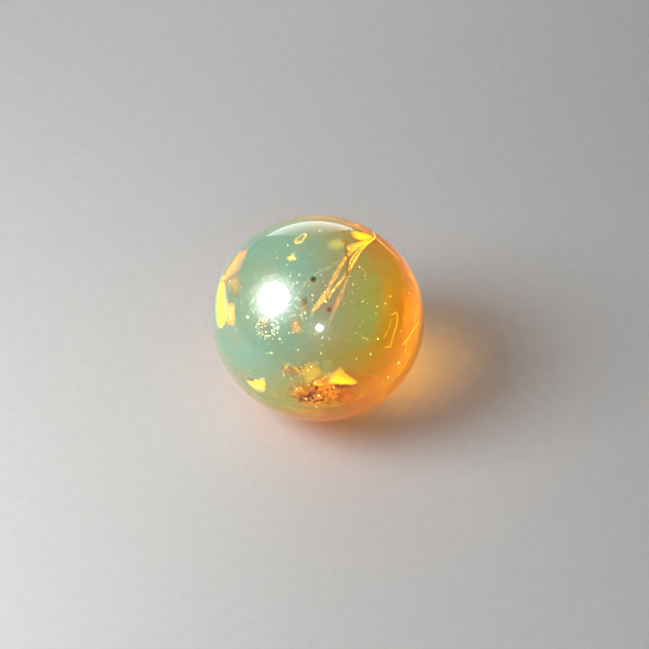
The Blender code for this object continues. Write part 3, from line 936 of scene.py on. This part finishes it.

# A flake is its depth under the skin in millimetres, its bright and dim colours, its painted glow,
# how solid it is in its middle, how far in from its rim it fades, and its outline.
FLAKES = {
    "left_crescent": (
        0.7, (255, 236, 60), (250, 190, 24), 1.9, 1.0, 0.15,
        ((-9.2, 4.4), (-9.6, 3.3), (-9.9, 2.2), (-10.0, 1.0), (-9.95, -0.2), (-9.6, -1.0),
         (-9.2, -0.9), (-8.75, 0.0), (-8.7, 1.2), (-8.8, 2.1), (-9.0, 3.3)),
    ),
    "left_chip": (
        1.4, (250, 196, 110), (226, 140, 70), 1.5, 0.9, 0.15,
        ((-9.1, 1.45), (-8.4, 1.55), (-8.0, 1.5), (-8.05, 0.4), (-8.1, -0.6), (-8.8, -0.6), (-9.1, 0.4)),
    ),
    "upper_left_sliver": (
        0.6, (255, 158, 40), (236, 124, 60), 1.5, 1.0, 0.3,
        ((-6.75, 6.8), (-7.4, 6.6), (-8.0, 6.0), (-8.55, 5.2), (-9.0, 4.4), (-9.35, 3.7), (-9.45, 3.35),
         (-9.1, 3.4), (-8.6, 4.0), (-7.95, 4.4), (-7.45, 4.85), (-7.2, 5.5), (-6.9, 6.2)),
    ),
    "pink_veil": (
        1.5, (204, 172, 146), (180, 172, 140), 0.45, 0.55, 1.0,
        ((-9.1, 3.75), (-8.4, 4.6), (-7.4, 4.7), (-7.1, 3.75), (-7.3, 2.5), (-8.1, 2.1), (-8.9, 2.3)),
    ),
    "yellow_chip": (
        1.6, (255, 222, 70), (236, 180, 50), 2.0, 1.0, 0.15,
        ((-7.05, -5.9), (-6.7, -6.15), (-6.25, -6.0), (-5.95, -5.8), (-5.7, -6.2), (-5.5, -5.7),
         (-5.2, -5.8), (-5.1, -6.65), (-5.2, -7.05), (-5.85, -7.1), (-6.3, -6.8), (-6.7, -6.4)),
    ),
    "upper_chip": (
        1.6, (150, 112, 50), (246, 232, 176), 1.5, 1.0, 0.2,
        ((-2.3, 7.3), (-2.2, 7.7), (-1.7, 8.0), (-1.35, 8.35), (-1.0, 8.15), (-1.25, 7.7), (-1.35, 7.4),
         (-1.9, 7.2)),
    ),
    "small_chip": (
        1.8, (244, 226, 150), (190, 166, 80), 1.5, 1.0, 0.45,
        ((-3.05, 5.95), (-2.6, 6.2), (-2.35, 6.6), (-2.2, 6.1), (-1.95, 5.6), (-2.6, 5.5), (-3.0, 5.6)),
    ),
    "upper_fan": (
        1.3, (255, 240, 40), (240, 176, 10), 1.4, 1.0, 0.3,
        ((3.3, 8.5), (4.1, 8.4), (4.9, 8.1), (5.6, 7.75), (4.9, 7.55), (4.1, 7.5), (3.5, 7.7), (3.2, 8.1)),
    ),
    "lower_fan": (
        2.0, (255, 226, 40), (226, 160, 26), 1.2, 1.0, 0.35,
        ((5.5, 7.75), (4.7, 7.65), (3.8, 7.35), (2.85, 7.1), (2.8, 6.4), (3.05, 5.95), (3.8, 6.5),
         (4.6, 7.1)),
    ),
    "pale_fan": (
        2.0, (224, 190, 80), (200, 190, 100), 1.2, 0.9, 0.9,
        ((0.7, 7.3), (1.6, 7.8), (2.7, 7.6), (2.8, 6.9), (2.0, 6.4), (0.9, 6.6)),
    ),
    "fan_shade": (
        1.5, (198, 112, 22), (160, 86, 16), 0.55, 1.0, 0.25,
        ((5.15, 7.5), (4.4, 7.1), (3.7, 6.6), (3.15, 6.1), (3.05, 5.6), (3.15, 5.1), (3.5, 5.5),
         (4.05, 6.35), (4.75, 7.1)),
    ),
    "rust_smudge": (
        1.0, (228, 150, 50), (200, 150, 90), 1.0, 1.0, 1.0,
        ((-2.9, -0.6), (-2.4, 0.2), (-1.7, -0.2), (-1.2, -1.3), (-2.1, -1.7), (-2.8, -1.4)),
    ),
    "brown_smudge": (
        1.4, (170, 116, 76), (160, 140, 106), 0.9, 1.0, 0.9,
        ((-2.4, 1.4), (-1.4, 1.8), (-0.9, 0.9), (-1.3, -0.1), (-2.2, -0.3), (-2.6, 0.6)),
    ),
    "cluster_shade": (
        1.9, (104, 78, 44), (120, 104, 60), 0.1, 0.9, 1.0,
        ((-5.5, -1.2), (-4.6, -0.6), (-3.6, -0.7), (-3.0, -1.2), (-3.8, -1.8), (-4.9, -1.9)),
    ),
    "right_seam": (
        1.0, (170, 92, 0), (190, 110, 0), 0.1, 0.8, 0.9,
        ((7.95, 0.9), (8.2, 0.3), (8.15, -0.8), (7.95, -1.9), (7.7, -1.2), (7.8, -0.2)),
    ),
    "olive_smudge": (
        1.0, (170, 140, 40), (160, 150, 80), 0.8, 0.9, 1.0,
        ((0.3, -4.3), (0.8, -3.9), (1.4, -4.0), (1.6, -4.5), (1.0, -4.9), (0.4, -4.8)),
    ),
    "apex_rim": (
        0.4, (228, 124, 6), (206, 112, 20), 0.7, 0.9, 0.9,
        ((1.3, 9.65), (2.5, 9.6), (3.8, 9.2), (4.95, 8.6), (5.7, 8.1), (5.3, 7.9), (4.4, 8.35),
         (3.2, 8.85), (1.8, 9.2)),
    ),
    # A painted glow: a bright orange film at the right rim, where the light that the ball gathers would
    # fall.
    "right_glow": (
        2.2, (255, 176, 0), (244, 140, 0), 0.8, 0.75, 0.95,
        ((7.8, 3.1), (8.8, 3.3), (9.6, 2.5), (9.95, 1.2), (9.95, 0.0), (9.4, -1.3), (8.3, -2.8),
         (7.8, -1.9), (7.8, -0.2), (8.1, 1.0)),
    ),
    "gold_veil": (
        2.6, (226, 178, 24), (180, 140, 20), 0.45, 0.6, 1.0,
        ((5.7, 5.4), (6.9, 5.2), (7.8, 3.6), (7.8, 1.4), (7.3, -0.4), (6.3, -1.8), (5.7, 0.3), (6.0, 2.4)),
    ),
    "low_gold_veil": (
        2.4, (206, 164, 36), (190, 140, 30), 0.3, 0.6, 1.0,
        ((4.8, -5.6), (6.1, -4.8), (7.8, -4.2), (7.9, -5.2), (6.7, -6.8), (5.1, -7.4)),
    ),
    "low_left_band": (
        1.2, (222, 136, 0), (196, 120, 10), 0.45, 0.8, 1.0,
        ((-4.8, -8.0), (-3.4, -8.9), (-1.6, -9.5), (0.4, -9.65), (1.8, -9.3), (0.6, -8.8), (-1.2, -8.7),
         (-3.2, -8.2)),
    ),
    "low_right_band": (
        1.2, (206, 128, 0), (186, 112, 10), 0.25, 0.8, 1.0,
        ((0.6, -9.2), (2.4, -9.4), (4.4, -8.7), (6.2, -7.5), (7.6, -5.9), (6.6, -6.1), (4.8, -7.2),
         (2.6, -8.3)),
    ),
    "gold_fold": (
        3.9, (232, 168, 20), (214, 150, 20), 0.5, 0.95, 0.5,
        ((-0.6, -6.4), (0.4, -6.3), (1.5, -6.3), (2.5, -6.5), (2.7, -6.9), (2.1, -7.4), (1.0, -7.5),
         (0.0, -7.2)),
    ),
    "red_flake": (
        4.0, (210, 124, 0), (190, 110, 6), 0.5, 0.95, 0.8,
        ((1.6, -7.9), (2.2, -6.9), (3.9, -6.8), (4.1, -7.5), (3.0, -8.5), (1.9, -8.7)),
    ),
    "orange_flake": (
        4.4, (222, 164, 10), (184, 134, 20), 0.5, 0.95, 0.7,
        ((-2.8, -7.4), (-1.8, -6.9), (-0.7, -6.7), (1.4, -6.9), (1.9, -7.9), (1.5, -8.8),
         (-0.45, -9.1), (-2.1, -8.8), (-2.8, -8.0)),
    ),
}

for number, (name, sizes) in enumerate(FLAKES.items()):
    deep, bright, dim, glow, solid, fade, outline = sizes
    rim = smooth_run([(*point, 0.0) for point in outline], 4, closed=True)
    middle = sum(rim, Vector()) / len(rim)
    flake = add_film(
        name,
        [seen_in_amber(point.x, point.y, deep) for point in rim],
        seen_in_amber(middle.x, middle.y, deep + FLAKE_CROWN),
        FLAKE_THICKNESS,
        film_finish(name + "_finish", bright, dim, glow, solid, fade),
        ripple=FILM_RIPPLE,
        seed=number,
    )
    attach(flake, "root")

# Bubbles and dust: round and drawn-out bubbles of gas and specks of resin dust, left by the
# flowing resin, whose shine like beads is a painted glow. A cluster of silvery specks lies under the
# highlight, and a ring of glowing specks around it is a painted sparkle of the highlight.
BUBBLE_SHARE = 0.6

# A bubble is its place on the disc and the radius that it seems to have, all in millimetres. It
# is made a little smaller, because it shines. A cloud is its name and count of specks, its
# middle, its nearest and furthest reach, and its smallest and largest speck.
BUBBLES = (
    (-2.91, 7.09, 0.15), (0.20, 8.49, 0.15), (-1.80, 4.21, 0.14), (-2.69, 4.10, 0.12),
    (-6.02, 4.13, 0.12), (-2.02, 3.46, 0.15), (-2.17, 1.17, 0.14), (-6.83, 0.14, 0.25),
    (-7.47, 1.54, 0.12), (-6.39, 1.59, 0.12), (0.72, 1.62, 0.17), (1.46, 2.65, 0.19),
    (-0.54, 2.23, 0.14), (-1.24, 0.50, 0.15), (-3.72, -2.01, 0.17), (-4.54, -3.35, 0.21),
    (-2.83, -1.42, 0.12), (1.08, -2.01, 0.10), (0.27, -3.42, 0.12), (5.75, 1.09, 0.15),
    (6.54, 1.39, 0.16), (5.75, 0.43, 0.10), (5.78, -2.04, 0.16), (8.00, -1.28, 0.12),
    (8.86, 2.43, 0.14), (9.67, 2.21, 0.10), (3.38, 3.24, 0.12), (4.05, 4.94, 0.14),
    (-5.43, 5.69, 0.10), (-3.95, 5.83, 0.10), (-6.68, -3.12, 0.10), (-2.83, -2.82, 0.09),
    (-1.94, -3.05, 0.09), (-0.99, -5.05, 0.10), (3.83, 9.04, 0.16), (5.41, 8.33, 0.15),
    (7.78, -4.38, 0.18), (6.75, -5.75, 0.14), (5.08, -3.52, 0.13), (7.0, 2.1, 0.10),
)
# The halo specks are painted sparkle: glowing specks in a ring around the round lamp's highlight.
DUST_CLOUDS = (
    ("dust", 300, (-2.0, 0.8), 0.0, 7.8, 0.022, 0.055),
    ("halo_specks", 240, (-4.2, 1.85), 1.65, 2.5, 0.015, 0.05),
    ("silver_cluster", 130, (-4.9, -0.95), 0.3, 1.15, 0.02, 0.07),
)
# Painted highlights: the bubbles and specks glow white and pale yellow, standing in for the lamps' glints.
bubble_finish = glowing_finish("bright_bubble", (244, 250, 222), (255, 232, 140), 3.0, 0.12, 300.0)
speck_finish = glowing_finish("silver_speck", (240, 248, 240), (214, 196, 130), 6.0, 0.2, 900.0)
speck = add_bead("speck", (0.0, 0.0, 0.0), MM, speck_finish, 1)
speck_pieces = []
for number, (right, up, radius) in enumerate(BUBBLES):
    wander = random.Random(number)
    centre = seen_in_amber(right, up, wander.uniform(0.6, 2.4))
    turn = [wander.uniform(0, 3) for _ in range(3)]
    drawn = (1.0, 1.0, wander.uniform(1.0, 1.7))
    size = radius * BUBBLE_SHARE * MM
    speck_pieces.append(add_bead("bubble", centre, size, bubble_finish, 2, drawn, turn))
for name, count, middle, nearest, furthest, smallest, largest in DUST_CLOUDS:
    wander = random.Random(name)
    for number in range(count):
        reach = nearest + (furthest - nearest) * math.sqrt(wander.random())
        angle = wander.uniform(0.0, math.tau)
        right = middle[0] + reach * math.cos(angle)
        up = middle[1] + reach * math.sin(angle)
        centre = seen_in_amber(right, up, wander.uniform(0.25, 1.6))
        turn = Euler([wander.uniform(0, 3) for _ in range(3)])
        drawn = Vector((1.0, wander.uniform(0.3, 1.0), wander.uniform(0.3, 1.8)))
        size = wander.uniform(smallest, largest)
        copied_speck = speck.copy()
        copied_speck.data = speck.data.copy()
        copied_speck.matrix_world = Matrix.LocRotScale(centre, turn, drawn * size)
        bpy.context.scene.collection.objects.link(copied_speck)
        speck_pieces.append(copied_speck)
bpy.data.objects.remove(speck)
specks = join_pieces(speck_pieces, "bubbles_and_dust")
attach(specks, "root")

# Bright hair cracks: the edges of cracks near the right side and along the rim, seen as thin
# lines with a painted glow. Each is its depth, its radius and its points on the disc, in millimetres.
CRACK_SHAPE = (0.8, 1.0, 0.8, 1.0, 0.9)
HAIR_CRACKS = {
    "hairpin": (0.7, 0.06, ((7.1, 0.28), (7.62, 0.45), (7.66, -0.4), (7.4, -1.35), (7.1, -2.35),
                            (7.0, -2.8), (6.45, -2.85))),
    "hairpin_shadow": (0.9, 0.03, ((7.1, -0.2), (6.8, -1.2), (6.3, -2.0))),
    "right_streak": (0.7, 0.085, ((9.75, -0.3), (9.6, -0.7), (8.95, -1.6), (8.2, -2.65))),
    "right_wisp": (0.9, 0.05, ((9.7, 1.4), (9.5, 0.4), (9.3, -0.9), (8.6, -2.6), (8.4, -3.4))),
    "small_streak": (0.7, 0.055, ((4.25, -1.9), (4.6, -2.0), (4.9, -2.2))),
    "apex_line": (0.8, 0.05, ((5.7, 7.7), (7.1, 6.4), (7.9, 5.6))),
    "apex_spark": (0.6, 0.09, ((5.35, 8.25), (5.55, 8.0), (5.55, 7.7))),
    "rim_spark": (0.3, 0.09, ((3.7, 9.02), (3.82, 9.06), (3.98, 8.98))),
    "apex_edge": (1.2, 0.06, ((5.5, 7.7), (4.75, 7.1), (4.02, 6.3), (3.5, 5.5), (3.15, 4.85))),
    "apex_fold": (1.4, 0.045, ((5.0, 7.4), (4.3, 6.9), (3.8, 6.4), (3.3, 5.75), (3.05, 5.2))),
    "rim_line": (0.5, 0.08, ((8.8, 4.3), (9.3, 3.6), (9.6, 2.9), (9.7, 2.5))),
    "low_right_line": (0.5, 0.04, ((7.7, -5.6), (8.4, -4.6), (8.9, -3.5))),
}
crack_finish = glowing_finish("glowing_crack", (255, 216, 60), (255, 150, 20), 2.8, 0.3, 900.0)
crack_pieces = []
for name, (deep, radius, points) in HAIR_CRACKS.items():
    run = smooth_run([(*point, 0.0) for point in points], 6)
    laid = [seen_in_amber(point.x, point.y, deep) for point in run]
    crack_pieces.append(add_strand(name, laid, radius * MM, CRACK_SHAPE, crack_finish))
hair_cracks = join_pieces(crack_pieces, "hair_cracks")
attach(hair_cracks, "root")
